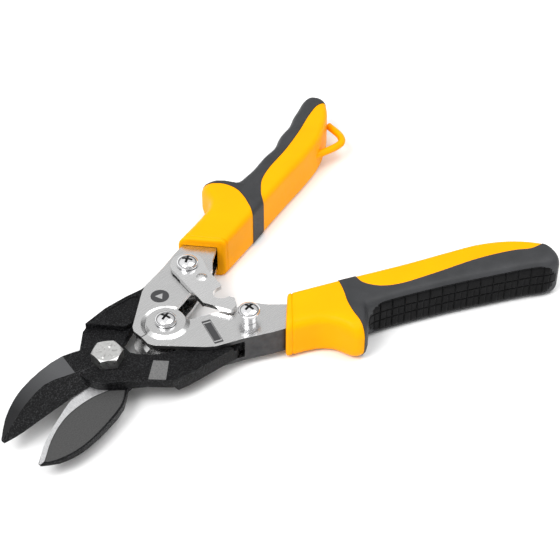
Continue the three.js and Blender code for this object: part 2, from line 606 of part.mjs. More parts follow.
function gripPieces(key, side) {
  const low = MID - GRIP_THICKNESS / 2;
  const high = MID + GRIP_THICKNESS / 2;
  const place = (points) => onSide(side, alongAll(points));
  const full = roundedSlab(place(gripOutline(key)), low, high, GRIP_ROUND);
  const region = slab(place(rubberRegion(key, 0)), -TALL, TALL);
  const regionIn = slab(place(rubberRegion(key, OVERMOULD_GAP)), -TALL, TALL);
  const bar = (gap) => {
    const inside = OVERMOULD - gap;
    return slab(place(coreBarOutline(key, -gap)), low + inside, high - inside);
  };
  const slotOuter = frameOuter.map(([s, t]) => [s === FRAME_IN_GRIP ? s + 1 : s, t + SLOT_GAP]);
  const slotInner = frameInner.map(([s, t]) => [s === FRAME_IN_GRIP ? s + 1 : s, t - SLOT_GAP]);
  const slotOutline = place([...slotOuter, ...slotInner].reverse());
  const slot = slab(slotOutline, FRAME_BOTTOM - FACE_GAP, FRAME_TOP + FACE_GAP);
  const shell = full.subtract(region).add(full.intersect(bar(0)));
  const loop = slab(place(loopParts()), MID - LOOP_BAR / 2, MID + LOOP_BAR / 2);
  const core = (key === "a" ? shell.add(loop) : shell).subtract(slot);
  const rubber = full.intersect(regionIn).subtract(bar(OVERMOULD_GAP)).subtract(slot);
  return [mesh(`grip_core_${key}`, core, LOOKS.yellow), mesh(`grip_overmould_${key}`, rubber, LOOKS.rubber)];
}

// ---------------------------------------------------------------- assembly
const snips = new THREE.Group();
snips.add(bladeUpper, bladeLower, pivotBolt(), pivotNut(), pivotLockWasher());
snips.add(handleFrame("handle_frame_a", 1, -EYE_OFFSET), handleFrame("handle_frame_b", -1, EYE_OFFSET));
snips.add(pivotSleeve(), spring());
const pivotNutTop = MID - PIVOT_SEAT;
snips.add(screw("handle_pivot_screw", HANDLE_PIVOT, MID + PIVOT_SEAT, nutEnd(pivotNutTop)));
snips.add(screwNut("handle_pivot_nut", HANDLE_PIVOT, pivotNutTop));
const tangNutTop = FRAME_BOTTOM - FACE_GAP;
snips.add(screw("latch_pivot_screw", PIVOT_A, LATCH_TOP + FACE_GAP, nutEnd(tangNutTop)));
snips.add(screwNut("latch_pivot_nut", PIVOT_A, tangNutTop));
snips.add(screw("latch_stud", PIVOT_B, FRAME_TOP + FACE_GAP + STUD_NECK, nutEnd(tangNutTop), STUD_NECK));
snips.add(screwNut("latch_stud_nut", PIVOT_B, tangNutTop));
for (const [key, side] of [["a", 1], ["b", -1]]) {
  snips.add(tangWasher(`tang_washer_${key}_upper`, side, 1));
  snips.add(tangWasher(`tang_washer_${key}_lower`, side, -1));
  snips.add(...gripPieces(key, side));
}
snips.add(latch(), latchWaveWasher());

export default snips;
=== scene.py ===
"""Aviation snips: the visible pieces, their materials, the floor, lights and camera."""

import json
import math

import bmesh
import bpy
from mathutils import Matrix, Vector


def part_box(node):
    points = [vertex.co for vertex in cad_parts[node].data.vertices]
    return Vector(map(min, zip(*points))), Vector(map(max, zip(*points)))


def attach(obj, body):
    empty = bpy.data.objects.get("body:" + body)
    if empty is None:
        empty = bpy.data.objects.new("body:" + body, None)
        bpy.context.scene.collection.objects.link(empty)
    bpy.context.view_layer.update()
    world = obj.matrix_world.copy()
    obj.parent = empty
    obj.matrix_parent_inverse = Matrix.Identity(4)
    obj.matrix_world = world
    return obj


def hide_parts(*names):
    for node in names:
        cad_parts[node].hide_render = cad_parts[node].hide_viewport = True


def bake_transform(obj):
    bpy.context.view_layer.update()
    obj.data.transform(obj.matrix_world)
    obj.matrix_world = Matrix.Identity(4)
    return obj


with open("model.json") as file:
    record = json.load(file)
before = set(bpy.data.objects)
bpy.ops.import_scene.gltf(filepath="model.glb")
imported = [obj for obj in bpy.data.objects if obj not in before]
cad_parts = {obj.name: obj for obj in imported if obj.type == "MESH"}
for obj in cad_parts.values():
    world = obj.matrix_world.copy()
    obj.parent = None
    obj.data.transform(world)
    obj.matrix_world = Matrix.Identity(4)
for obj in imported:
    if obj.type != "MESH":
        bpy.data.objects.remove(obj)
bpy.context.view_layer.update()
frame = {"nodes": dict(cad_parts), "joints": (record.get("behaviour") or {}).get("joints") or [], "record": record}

# Lengths are millimetres in the frame's axes, and z = 0 is the surface that the tool lies on.
MM = 0.001
SCENE = bpy.context.scene
BEHAVIOUR = frame["record"]["behaviour"]
BODY = {node: body for body, nodes in BEHAVIOUR["bodies"].items() for node in nodes}
JOINTS = {joint["name"]: joint for joint in frame["joints"]}


def joint_place(name):
    return Vector(JOINTS[name]["pos_m"]) / MM


def node_box(name):
    low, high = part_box(name)
    return low / MM, high / MM


PIVOT_A = joint_place("latch_pivot")
SHEAR_PLANE = PIVOT_A.z
PLATE_TOP = SHEAR_PLANE + 6.5  # the upper face of both handle frames
SIDES = (("a", 1), ("b", -1))


# ---------------------------------------------------------------- meshes
def fresh(name, points, faces):
    """A mesh object through points in millimetres, its faces turned outwards."""
    mesh = bpy.data.meshes.new(name)
    mesh.from_pydata([Vector(p) * MM for p in points], [], faces)
    work = bmesh.new()
    work.from_mesh(mesh)
    bmesh.ops.recalc_face_normals(work, faces=work.faces)
    work.to_mesh(mesh)
    work.free()
    piece = bpy.data.objects.new(name, mesh)
    SCENE.collection.objects.link(piece)
    return piece


def from_node(node):
    """A new piece with a CAD node's shape, its flat faces whole again."""
    source = frame["nodes"][node].data
    points = [v.co / MM for v in source.vertices]
    piece = fresh(node + "_piece", points, [tuple(p.vertices) for p in source.polygons])
    work = bmesh.new()
    work.from_mesh(piece.data)
    bmesh.ops.remove_doubles(work, verts=work.verts, dist=0.005 * MM)
    bmesh.ops.dissolve_limit(work, angle_limit=math.radians(0.6), verts=work.verts, edges=work.edges)
    bmesh.ops.recalc_face_normals(work, faces=work.faces)
    work.to_mesh(piece.data)
    work.free()
    return piece


def applied(piece):
    """The piece with its modifiers made part of its mesh."""
    SCENE.view_layers[0].update()
    evaluated = piece.evaluated_get(bpy.context.evaluated_depsgraph_get())
    mesh = bpy.data.meshes.new_from_object(evaluated)
    piece.modifiers.clear()
    piece.data = mesh
    return piece


def combine(piece, tool, operation, solver="EXACT"):
    """Joins the tool to the piece, cuts it out or keeps what both hold, and removes the tool."""
    modifier = piece.modifiers.new(operation, "BOOLEAN")
    modifier.operation = operation
    modifier.solver = solver
    modifier.object = tool
    applied(piece)
    bpy.data.objects.remove(tool)
    return piece


def prism(outline, low, high):
    """An upright solid over a flat outline."""
    count = len(outline)
    points = [(x, y, z) for z in (low, high) for x, y in outline]
    walls = [(i, (i + 1) % count, (i + 1) % count + count, i + count) for i in range(count)]
    return fresh("tool", points, [tuple(range(count)), tuple(range(count, 2 * count)), *walls])


def turned(profile, at, sides=64):
    """A solid of revolution about an upright axis, from (radius, height) points."""
    points, rows = [], []
    for radius, height in profile:
        around = sides if radius > 1e-6 else 1
        rows.append(range(len(points), len(points) + around))
        for i in range(around):
            angle = math.tau * i / sides
            points.append((at[0] + radius * math.cos(angle), at[1] + radius * math.sin(angle), height))
    faces = []
    for low, high in zip(rows, rows[1:]):
        for i in range(sides):
            quad = [low[i % len(low)], low[(i + 1) % sides % len(low)]]
            quad += [high[(i + 1) % sides % len(high)], high[i % len(high)]]
            faces.append(tuple(dict.fromkeys(quad)))
    return fresh("tool", points, [f for f in faces if len(f) > 2])


def lofted(sections):
    """A closed solid through loops with equally many points."""
    around = len(sections[0])
    points = [p for section in sections for p in section]
    faces = []
    for row in range(len(sections) - 1):
        this, following = row * around, (row + 1) * around
        for i in range(around):
            j = (i + 1) % around
            faces.append((this + i, this + j, following + j, following + i))
    last = (len(sections) - 1) * around
    faces += [tuple(range(around)), tuple(range(last, last + around))]
    return fresh("tool", points, faces)


def curve_through(points, steps):
    """A smooth centripetal curve through points, sampled evenly between them."""
    points = [Vector(p) for p in points]
    ends = [2 * points[0] - points[1], *points, 2 * points[-1] - points[-2]]
    made = []
    for a, b, c, d in zip(ends, ends[1:], ends[2:], ends[3:]):
        knots = [0.0]
        for p, q in ((a, b), (b, c), (c, d)):
            knots.append(knots[-1] + max((q - p).length, 1e-6) ** 0.5)
        k0, k1, k2, k3 = knots
        for step in range(steps):
            t = k1 + (k2 - k1) * step / steps
            row = [a, b, c, d]
            for spans in (((k0, k1), (k1, k2), (k2, k3)), ((k0, k2), (k1, k3)), ((k1, k2),)):
                row = [
                    p * ((high - t) / (high - low)) + q * ((t - low) / (high - low))
                    for (low, high), p, q in zip(spans, row, row[1:])
                ]
            made.append(row[0])
    return [*made, points[-1]]


def swept(path, radius, sides=16):
    """A round bar along a path."""
    sections = []
    across = Vector((0, 0, 1))
    for i, point in enumerate(path):
        ahead = (path[min(i + 1, len(path) - 1)] - path[max(i - 1, 0)]).normalized()
        side = ahead.cross(across).normalized()
        over = side.cross(ahead)
        turn = [math.tau * k / sides for k in range(sides)]
        sections.append([point + radius * (side * math.cos(a) + over * math.sin(a)) for a in turn])
    return lofted(sections)


def bevelled(piece, width, sharp=28, segments=2, edge_material=-1):
    """Rounds every edge that is sharper than an angle in degrees."""
    modifier = piece.modifiers.new("edges", "BEVEL")
    modifier.width = width * MM
    modifier.segments = segments
    modifier.limit_method = "ANGLE"
    modifier.angle_limit = math.radians(sharp)
    modifier.material = edge_material
    return applied(piece)


def shaded(piece, sharp=32):
    """Smooth shading with crisp edges, and flat faces that look flat."""
    for polygon in piece.data.polygons:
        polygon.use_smooth = True
    piece.data.set_sharp_from_angle(angle=math.radians(sharp))
    modifier = piece.modifiers.new("normals", "WEIGHTED_NORMAL")
    modifier.keep_sharp = True
    modifier.weight = 80
    return applied(piece)


def paint(piece, *materials):
    """Gives the piece its materials, in the order that its faces number them."""
    piece.data.materials.clear()
    for material in materials:
        piece.data.materials.append(material)
    return piece


def number_faces(piece, number, chosen):
    """Puts the faces for which chosen(centre, normal) holds on the material of that number."""
    for polygon in piece.data.polygons:
        if chosen(polygon.center / MM, polygon.normal):
            polygon.material_index = number
    return piece


def install(piece, name, node):
    """The finished piece takes the place of its CAD node."""
    piece.name = name
    piece.data.name = name
    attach(piece, BODY[node])
    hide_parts(node)
    return piece


def top_near(node, x, y, reach):
    """The greatest height of a CAD node's corners within reach of an upright line."""
    corners = [v.co / MM for v in frame["nodes"][node].data.vertices]
    return max(p.z for p in corners if math.hypot(p.x - x, p.y - y) < reach)


SAME_HEIGHT = 0.008


def inlay(piece, outline, top, depth, number):
    """Sinks the outline into an upward face and puts its floor on the material of that number."""
    combine(piece, prism(outline, top - depth, top + 1), "DIFFERENCE")

    def sunk(centre, normal):
        return normal.z > 0.9 and abs(centre.z - top + depth) < SAME_HEIGHT

    return number_faces(piece, number, sunk)


def arc(x, y, radius, start, end, steps):
    """Points on an arc, its angles in degrees."""
    angles = [math.radians(start + (end - start) * i / steps) for i in range(steps + 1)]
    return [(x + radius * math.cos(a), y + radius * math.sin(a)) for a in angles]


def flat_curve(points, steps):
    """A smooth curve through flat points."""
    return [(p.x, p.y) for p in curve_through([(x, y, 0) for x, y in points], steps)]


def rectangle(centre, turn, start, end, half):
    """The corners of a rectangle along a direction in degrees, from start to end and half to each side."""
    angle = math.radians(turn)
    ahead = Vector((math.cos(angle), math.sin(angle)))
    side = Vector((-math.sin(angle), math.cos(angle)))
    places = ((start, -half), (end, -half), (end, half), (start, half))
    return [tuple(Vector(centre) + ahead * r + side * w) for r, w in places]


# ---------------------------------------------------------------- materials
def shader(name, colour, metallic, roughness, specular=0.5):
    material = bpy.data.materials.new(name)
    material.use_nodes = True
    bsdf = material.node_tree.nodes["Principled BSDF"]
    bsdf.inputs["Base Color"].default_value = (*colour, 1)
    bsdf.inputs["Metallic"].default_value = metallic
    bsdf.inputs["Roughness"].default_value = roughness
    bsdf.inputs["Specular IOR Level"].default_value = specular
    return material


def noise(material, size, detail=3.0, stretch=(1, 1, 1)):
    """Noise whose blots are about size millimetres across, drawn out along the axes by stretch."""
    nodes, links = material.node_tree.nodes, material.node_tree.links
    place = nodes.new("ShaderNodeTexCoord")
    mapping = nodes.new("ShaderNodeMapping")
    texture = nodes.new("ShaderNodeTexNoise")
    mapping.inputs["Scale"].default_value = [1 / (size * MM * k) for k in stretch]
    texture.inputs["Scale"].default_value = 1
    texture.inputs["Detail"].default_value = detail
    links.new(place.outputs["Object"], mapping.inputs["Vector"])
    links.new(mapping.outputs["Vector"], texture.inputs["Vector"])
    return texture.outputs["Fac"]


def spread(material, source, low, high, start=0.3, end=0.7):
    """The source's values from start to end, as numbers from low to high."""
    node = material.node_tree.nodes.new("ShaderNodeMapRange")
    for key, value in (("From Min", start), ("From Max", end), ("To Min", low), ("To Max", high)):
        node.inputs[key].default_value = value
    material.node_tree.links.new(source, node.inputs["Value"])
    return node.outputs["Result"]


def rough(material, source, low, high):
    bsdf = material.node_tree.nodes["Principled BSDF"]
    material.node_tree.links.new(spread(material, source, low, high), bsdf.inputs["Roughness"])


def tinted(material, source, dark, light, start=0.3, end=0.7):
    nodes, links = material.node_tree.nodes, material.node_tree.links
    mix = nodes.new("ShaderNodeMix")
    mix.data_type = "RGBA"
    mix.inputs["A"].default_value = (*dark, 1)
    mix.inputs["B"].default_value = (*light, 1)
    links.new(spread(material, source, 0, 1, start, end), mix.inputs["Factor"])
    links.new(mix.outputs["Result"], nodes["Principled BSDF"].inputs["Base Color"])


def bumped(material, *layers):
    """Relief from several sources, each with its height in millimetres."""
    nodes, links = material.node_tree.nodes, material.node_tree.links
    below = None
    for source, height in layers:
        bump = nodes.new("ShaderNodeBump")
        bump.inputs["Distance"].default_value = height * MM
        links.new(source, bump.inputs["Height"])
        if below:
            links.new(below, bump.inputs["Normal"])
        below = bump.outputs["Normal"]
    links.new(below, nodes["Principled BSDF"].inputs["Normal"])


def black_oxide():
    """Grainy black oxide, its grain catching the light; its lighter grains are partly grain tone and partly
    painted glints.
    """
    material = shader("black_oxide", (0.01, 0.01, 0.011), 0.0, 0.4, specular=0.1)
    grain = noise(material, 0.55, 4)
    # The light end of the grain's colour paints glints as well as the grain's own tone.
    tinted(material, grain, (0.003, 0.003, 0.0034), (0.04, 0.041, 0.043), 0.5, 0.74)
    rough(material, grain, 0.5, 0.25)
    bumped(material, (grain, 0.25), (noise(material, 0.25), 0.04))
    return material


JAW_FADE = (-52, -14)  # x at which the ground back is darkest and lightest


def ground_black():
    """The back of the upper jaw, ground before it was blackened, and darker towards its point."""
    material = shader("ground_black", (0.05, 0.05, 0.052), 0.0, 0.4, specular=0.25)
    nodes, links = material.node_tree.nodes, material.node_tree.links
    place = nodes.new("ShaderNodeTexCoord")
    split = nodes.new("ShaderNodeSeparateXYZ")
    links.new(place.outputs["Object"], split.inputs["Vector"])
    nearness = spread(material, split.outputs["X"], 0.2, 0.8, JAW_FADE[0] * MM, JAW_FADE[1] * MM)
    tinted(material, nearness, (0.008, 0.008, 0.009), (0.07, 0.071, 0.074))
    strokes = noise(material, 0.3, 2, (1, 6, 1))
    rough(material, strokes, 0.34, 0.5)
    bumped(material, (strokes, 0.02), (noise(material, 0.5), 0.05))
    return material


def wear_and_highlight_black():
    """Edges where the black has rubbed thin, their colour also lighter as a painted highlight along the edges."""
    material = shader("wear_and_highlight_black", (0.05, 0.05, 0.052), 0.4, 0.4)
    wear_and_highlight = noise(material, 1.6, 4)
    # The light end of this mix is partly rubbed steel and partly a painted highlight on the bevels.
    tinted(material, wear_and_highlight, (0.02, 0.02, 0.021), (0.2, 0.2, 0.205))
    rough(material, wear_and_highlight, 0.3, 0.5)
    return material


def ground_steel():
    """The bright strip along a cutting edge and the ground flat on the tang."""
    material = shader("ground_steel", (0.6, 0.6, 0.61), 0.9, 0.4)
    strokes = noise(material, 0.22, 2, (1, 9, 1))
    tinted(material, strokes, (0.5, 0.5, 0.51), (0.75, 0.75, 0.76))
    rough(material, strokes, 0.32, 0.5)
    bumped(material, (strokes, 0.01))
    return material


def dull_ground(name, shade):
    """A flat that was ground before the blade was blackened."""
    material = shader(name, (shade,) * 3, 0.2, 0.5, specular=0.2)
    grain = noise(material, 0.5, 4)
    tinted(material, grain, (shade * 0.75,) * 3, (shade * 1.3,) * 3)
    rough(material, grain, 0.42, 0.6)
    bumped(material, (grain, 0.03))
    return material


def zinc_plate():
    material = shader("zinc_plate", (0.56, 0.56, 0.55), 1, 0.3)
    patches = noise(material, 1.4, 4)
    tinted(material, patches, (0.56, 0.56, 0.55), (0.68, 0.68, 0.67))
    rough(material, patches, 0.26, 0.36)
    bumped(material, (noise(material, 0.4), 0.02))
    return material


def satin_nickel(name="satin_nickel", shade=0.6):
    material = shader(name, (shade,) * 3, 1, 0.3)
    strokes = noise(material, 0.3, 3, (14, 1, 1))
    tinted(material, strokes, (shade * 0.95,) * 3, (shade * 1.05,) * 3)
    rough(material, strokes, 0.22, 0.3)
    bumped(material, (strokes, 0.0015), (noise(material, 22, 1), 0.3))
    return material


def frame_side_painted_reflection():
    """The outer side of the channel, a little rougher than its plates, its colour darkened as a painted dark
    reflection.
    """
    material = shader("frame_side_painted_reflection", (0.05, 0.05, 0.052), 0.8, 0.4)
    patches = noise(material, 4, 4)
    tinted(material, patches, (0.04, 0.04, 0.042), (0.075, 0.075, 0.077))
    rough(material, patches, 0.34, 0.5)
    bumped(material, (noise(material, 0.5), 0.02))
    return material


def chrome():
    material = shader("chrome", (0.78, 0.78, 0.79), 1, 0.1)
    rough(material, noise(material, 1.2, 4), 0.06, 0.16)
    bumped(material, (noise(material, 0.8), 0.006))
    return material


def spring_wire():
    material = shader("spring_wire", (0.08, 0.08, 0.082), 1, 0.35)
    rough(material, noise(material, 0.5, 3), 0.25, 0.45)
    bumped(material, (noise(material, 0.3), 0.01))
    return material


def painted_recess_shade():
    """The inside of a screw's cross, darkened as painted shade."""
    material = shader("painted_recess_shade", (0.03, 0.03, 0.03), 0.3, 0.5)
    tinted(material, noise(material, 0.6, 3), (0.015, 0.015, 0.015), (0.06, 0.06, 0.06))
    bumped(material, (noise(material, 0.3), 0.02))
    return material


def printed_black():
    material = shader("printed_black", (0.03, 0.03, 0.032), 0, 0.45)
    rough(material, noise(material, 0.6), 0.38, 0.52)
    bumped(material, (noise(material, 0.3), 0.006))
    return material


def yellow_plastic():
    material = shader("yellow_plastic", (0.95, 0.38, 0), 0, 0.42, specular=0.06)
    tinted(material, noise(material, 18), (0.92, 0.37, 0), (0.98, 0.395, 0))
    rough(material, noise(material, 1.5), 0.38, 0.48)
    bumped(material, (noise(material, 0.35), 0.01))
    return material


def charcoal_rubber():
    material = shader("charcoal_rubber", (0.034, 0.035, 0.037), 0, 0.5, specular=0.25)
    tinted(material, noise(material, 8), (0.03, 0.031, 0.033), (0.04, 0.041, 0.044))
    rough(material, noise(material, 0.8), 0.44, 0.58)
    bumped(material, (noise(material, 0.3), 0.02))
    return material


def pad_rubber():
    material = shader("pad_rubber", (0.003, 0.003, 0.0033), 0, 0.34, specular=0.08)
    tinted(material, noise(material, 4), (0.002, 0.002, 0.0022), (0.005, 0.005, 0.0055))
    rough(material, noise(material, 0.7), 0.26, 0.42)
    bumped(material, (noise(material, 0.5), 0.025))
    return material


BLACK_OXIDE = black_oxide()
GROUND_BLACK = ground_black()
WEAR_AND_HIGHLIGHT_BLACK = wear_and_highlight_black()
GROUND_STEEL = ground_steel()
LEAF = dull_ground("dull_leaf", 0.06)
FLAT = dull_ground("dull_flat", 0.14)
ZINC = zinc_plate()
NICKEL = satin_nickel()
LATCH_NICKEL = satin_nickel("latch_nickel", 0.68)
FRAME_SIDE_PAINTED_REFLECTION = frame_side_painted_reflection()
CHROME = chrome()
RECESS_SHADE = painted_recess_shade()
SPRING_WIRE = spring_wire()
PRINTED = printed_black()
YELLOW = yellow_plastic()
CHARCOAL = charcoal_rubber()
PAD = pad_rubber()


# ---------------------------------------------------------------- blades
UPPER_RIDGE = [(-57, -7), (-46.8, -1.7), (-39.6, 1.6), (-28, 4.8), (-17, 2.8), (-6, 1)]
BAND_END = -13.5  # where the ground back of the upper jaw runs out, before the boss
LEAF_INNER = [
    (-50.8, -26.5), (-48.2, -24.2), (-43.6, -20), (-36.4, -15),
    (-29.3, -11.8), (-22, -10.3), (-15, -10), (-8, -11),
]
LEAF_OUTER = [
    (-2.5, -15.2), (-8.3, -20.6), (-18.7, -25.3), (-31, -29),
    (-39, -29.8), (-45.8, -29), (-49.8, -27.6),
]
LOWER_EDGE = [
    (-54, -27.2), (-46.6, -19.3), (-40, -14.5), (-32.9, -10.2),
    (-25, -5.9), (-19, -4), (-12, -2),
]
LOWER_FACE = SHEAR_PLANE - 0.15  # the lower blade's side of the shear gap
LOWER_TANG_TOP = SHEAR_PLANE + 2.5
TANG_PANEL_ENDS = (20.5, 31)  # centres of the round ends of the lower tang's long panel
TANG_PANEL_Y = 22.6
TANG_PANEL_ROUND = 4
LEAF_DEPTH = 0.35
STRIP_DEPTH = 0.05
FLAT_DEPTH = 0.04
TANG_FLAT = [(6, -20.2), (14.4, -12.6), (19.2, -17.2), (11.5, -25.2)]
BLADE_EDGES = 0.35


def ridge_height(x):
    for (x0, y0), (x1, y1) in zip(UPPER_RIDGE, UPPER_RIDGE[1:]):
        if x0 <= x <= x1:
            return y0 + (y1 - y0) * (x - x0) / (x1 - x0)
    return UPPER_RIDGE[-1][1]


def upper_blade():
    piece = from_node("blade_upper")
    paint(piece, BLACK_OXIDE, WEAR_AND_HIGHLIGHT_BLACK, GROUND_BLACK, FLAT)
    # The bevels take the second material: wear, and a painted highlight along the edges.
    bevelled(piece, BLADE_EDGES, sharp=24, edge_material=1)

    def ground_back(centre, normal):
        return centre.x < BAND_END and normal.z > 0.4 and centre.y > ridge_height(centre.x)

    number_faces(piece, 2, ground_back)
    inlay(piece, TANG_FLAT, top_near("blade_upper", 12, -19, 8), FLAT_DEPTH, 3)
    install(shaded(piece), "upper_blade", "blade_upper")


def lower_blade():
    piece = from_node("blade_lower")
    paint(piece, BLACK_OXIDE, WEAR_AND_HIGHLIGHT_BLACK, LEAF, GROUND_STEEL)
    # The bevels take the second material: wear, and a painted highlight along the edges.
    bevelled(piece, BLADE_EDGES, sharp=24, edge_material=1)
    inner, outer = flat_curve(LEAF_INNER, 5), flat_curve(LEAF_OUTER, 5)
    near, far = TANG_PANEL_ENDS
    panel = arc(near, TANG_PANEL_Y, TANG_PANEL_ROUND, 90, 270, 12)
    panel += arc(far, TANG_PANEL_Y, TANG_PANEL_ROUND, 270, 450, 12)
    inlay(piece, panel, LOWER_TANG_TOP, LEAF_DEPTH, 0)
    inlay(piece, LOWER_EDGE + inner[::-1], LOWER_FACE, STRIP_DEPTH, 3)
    inlay(piece, inner + outer, LOWER_FACE, LEAF_DEPTH, 2)
    install(shaded(piece), "lower_blade", "blade_lower")


# ---------------------------------------------------------------- blade pivot
GRADE_MARK = (2.2, 4.5, 0.35)  # where a radial mark starts and ends, and half its width
MARK_RISE = 0.4


def pivot_bolt():
    piece = from_node("blade_pivot_bolt")
    top = node_box("blade_pivot_bolt")[1].z
    bevelled(piece, 0.25, sharp=20)
    for i in range(6):
        mark = rectangle((0, 0), 30 + 60 * i, *GRADE_MARK)
        combine(piece, prism(mark, top - 1, top + MARK_RISE), "UNION")
    install(shaded(paint(piece, ZINC)), "pivot_bolt", "blade_pivot_bolt")


def plain_piece(node, name, width, *materials, sharp=28):
    piece = bevelled(from_node(node), width, sharp)
    install(shaded(paint(piece, *materials)), name, node)


# ---------------------------------------------------------------- handle frames
BEND_RADIUS = 1.8
PUNCHED = 0.15  # a punched edge's rounding, as a share of the bend's
TALL_FACE = 0.012  # metres; only the channel's walls are taller
BADGE = (39.2, 15.4)
BADGE_RADIUS = 4.1
BADGE_MARK = 2.2
LABEL = [(38.9, -23.6), (42.8, -24.8), (46.8, -10.4), (42.9, -9.2)]
LABEL_LAYERS = ((1, 0.03, 2), (0.86, 0.05, 0), (0.78, 0.07, 2))  # share of the label, depth, material

def frame_channel(key, side):
    """The bent steel channel. Its long outer edges are bends, and all others are punched."""
    piece = from_node(f"handle_frame_{key}")
    work = bmesh.new()
    work.from_mesh(piece.data)
    weights = work.edges.layers.float.new("bevel_weight_edge")
    for edge in work.edges:
        if len(edge.link_faces) != 2 or edge.calc_face_angle(0) < math.radians(24):
            continue
        tall = False
        for face in edge.link_faces:
            heights = [v.co.z for v in face.verts]
            tall = tall or max(heights) - min(heights) > TALL_FACE
        level = abs(edge.verts[0].co.z - edge.verts[1].co.z) < 1e-5
        edge[weights] = 1 if tall and level else PUNCHED
    work.to_mesh(piece.data)
    work.free()
    modifier = piece.modifiers.new("edges", "BEVEL")
    modifier.width = BEND_RADIUS * MM
    modifier.segments = 3
    modifier.limit_method = "WEIGHT"
    applied(piece)
    paint(piece, NICKEL, FRAME_SIDE_PAINTED_REFLECTION, PRINTED)

    # The channel's outer sides take the second material, a painted dark reflection.
    def outer_side(centre, normal):
        return abs(normal.z) < 0.3 and centre.y * side > 12 and normal.y * side > 0.6

    number_faces(piece, 1, outer_side)
    return piece


def frame_a():
    piece = frame_channel("a", 1)
    inlay(piece, arc(*BADGE, BADGE_RADIUS, 0, 360, 40)[:-1], PLATE_TOP, 0.03, 2)
    inlay(piece, arc(*BADGE, BADGE_MARK, 20, 380, 3)[:-1], PLATE_TOP, 0.05, 0)
    install(shaded(piece), "frame_a", "handle_frame_a")


def frame_b():
    piece = frame_channel("b", -1)
    middle = sum((Vector(p) for p in LABEL), Vector((0, 0))) / 4
    for scale, depth, number in LABEL_LAYERS:
        shrunk = [tuple(middle + (Vector(p) - middle) * scale) for p in LABEL]
        inlay(piece, shrunk, PLATE_TOP, depth, number)
    install(shaded(piece), "frame_b", "handle_frame_b")


# ---------------------------------------------------------------- screws
HEAD_HEIGHT = 3.2
HEAD_RIM = 0.9  # height at which the head's dome starts
HEAD_EDGE = 0.25
SHANK_RADIUS = 2.9
COLLAR_RADIUS = 3.25
NECK_RADIUS = 2.95
# The cross recess from its floor up: height from the head's top, and each arm's reach and half width.
RECESS_LEVELS = ((-2.4, 0.9, 0.34), (-0.9, 2.2, 0.5), (0.4, 2.7, 0.62))


def cross_recess(x, y, top, turn):
    """The tapered cross cut of a screw head."""
    tool = None
    for arm in (turn, turn + 90):
        loops = []
        for height, reach, width in RECESS_LEVELS:
            loops.append([(*p, top + height) for p in rectangle((x, y), arm, -reach, reach, width)])
        bar = lofted(loops)
        tool = combine(tool, bar, "UNION") if tool else bar
    return tool


def screw(node, name, turn, collar=0.0):
    """A pan-headed screw with a cross recess, its shank as long as the CAD's. A collar is the stud's thick
    part, which reaches down that far below the head, under a slimmer neck for the latch."""
    low, high = node_box(node)
    x, y = (low.x + high.x) / 2, (low.y + high.y) / 2
    radius = (high.x - low.x) / 2
    base = high.z - HEAD_HEIGHT
    dome = []
    for i in range(12):
        angle = math.pi / 2 * i / 12
        rise = HEAD_RIM + (HEAD_HEIGHT - HEAD_RIM) * math.sin(angle)
        dome.append((radius * math.cos(angle), base + rise))
    profile = [(0, base), (radius - HEAD_EDGE, base), (radius, base + HEAD_EDGE), *dome, (0, high.z)]
    piece = turned(profile, (x, y))
    shank = [
        (0, low.z), (SHANK_RADIUS - 0.3, low.z), (SHANK_RADIUS, low.z + 0.3),
        (SHANK_RADIUS, base + 0.5), (0, base + 0.5),
    ]
    combine(piece, turned(shank, (x, y)), "UNION")
    if collar:
        neck = [
            (0, base - collar), (COLLAR_RADIUS, base - collar), (COLLAR_RADIUS, base - 1.6),
            (NECK_RADIUS, base - 1.3), (NECK_RADIUS, base + 0.4), (0, base + 0.4),
        ]
        combine(piece, turned(neck, (x, y)), "UNION")
    combine(piece, cross_recess(x, y, high.z, turn), "DIFFERENCE")
    bevelled(piece, 0.12, sharp=35)
    paint(piece, CHROME, RECESS_SHADE)

    def in_cross(centre, normal):
        near = math.hypot(centre.x - x, centre.y - y) < 2.6
        return near and centre.z > base and (normal.z < 0.35 or centre.z < high.z - 1.2)

    # The cross's inner faces take the painted shade.
    number_faces(piece, 1, in_cross)
    install(shaded(piece, 35), name, node)


# ---------------------------------------------------------------- latch and spring
DIMPLE = (-0.6, -11)  # the raised dimple's place, from the latch's pivot
DIMPLE_PROFILE = ((0, -1), (2.9, -1), (2.9, -0.05), (2.3, 0.25), (1.5, 0.75), (0.8, 0.95), (0, 1))


def latch():
    piece = from_node("latch")
    top = node_box("latch")[1].z
    bevelled(piece, 0.35, sharp=28, segments=3)
    bump = [(radius, top + rise) for radius, rise in DIMPLE_PROFILE]
    combine(piece, turned(bump, (PIVOT_A.x + DIMPLE[0], PIVOT_A.y + DIMPLE[1]), 32), "UNION")
    install(shaded(paint(piece, LATCH_NICKEL)), "latch_plate", "latch")


def opening_spring():
    node = "opening_spring"
    piece = from_node(node)
    modifier = piece.modifiers.new("round", "SUBSURF")
    modifier.levels = 1
    applied(piece)
    for polygon in piece.data.polygons:
        polygon.use_smooth = True
    paint(piece, SPRING_WIRE)
    piece.name = "torsion_spring"
    piece.data.name = "torsion_spring"
    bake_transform(piece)
    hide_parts(node)


# ---------------------------------------------------------------- grips
# A grip is written along its handle's axis (s) and outwards across it (t), for the +Y side.
HANDLE_TURN = math.radians(19.5)
MOUTH = PIVOT_A + Vector((12.5, 8.8, 0))
GRIP_START = -3.0
GRIP_END = {"a": 126.0, "b": 129.0}
GRIP_SIDE = {"a": 7.2, "b": 8.8}  # how far out the pad's side lies
GRIP_SLIM = {"a": 2.0, "b": -0.5}  # how much slimmer the grip grows towards its end
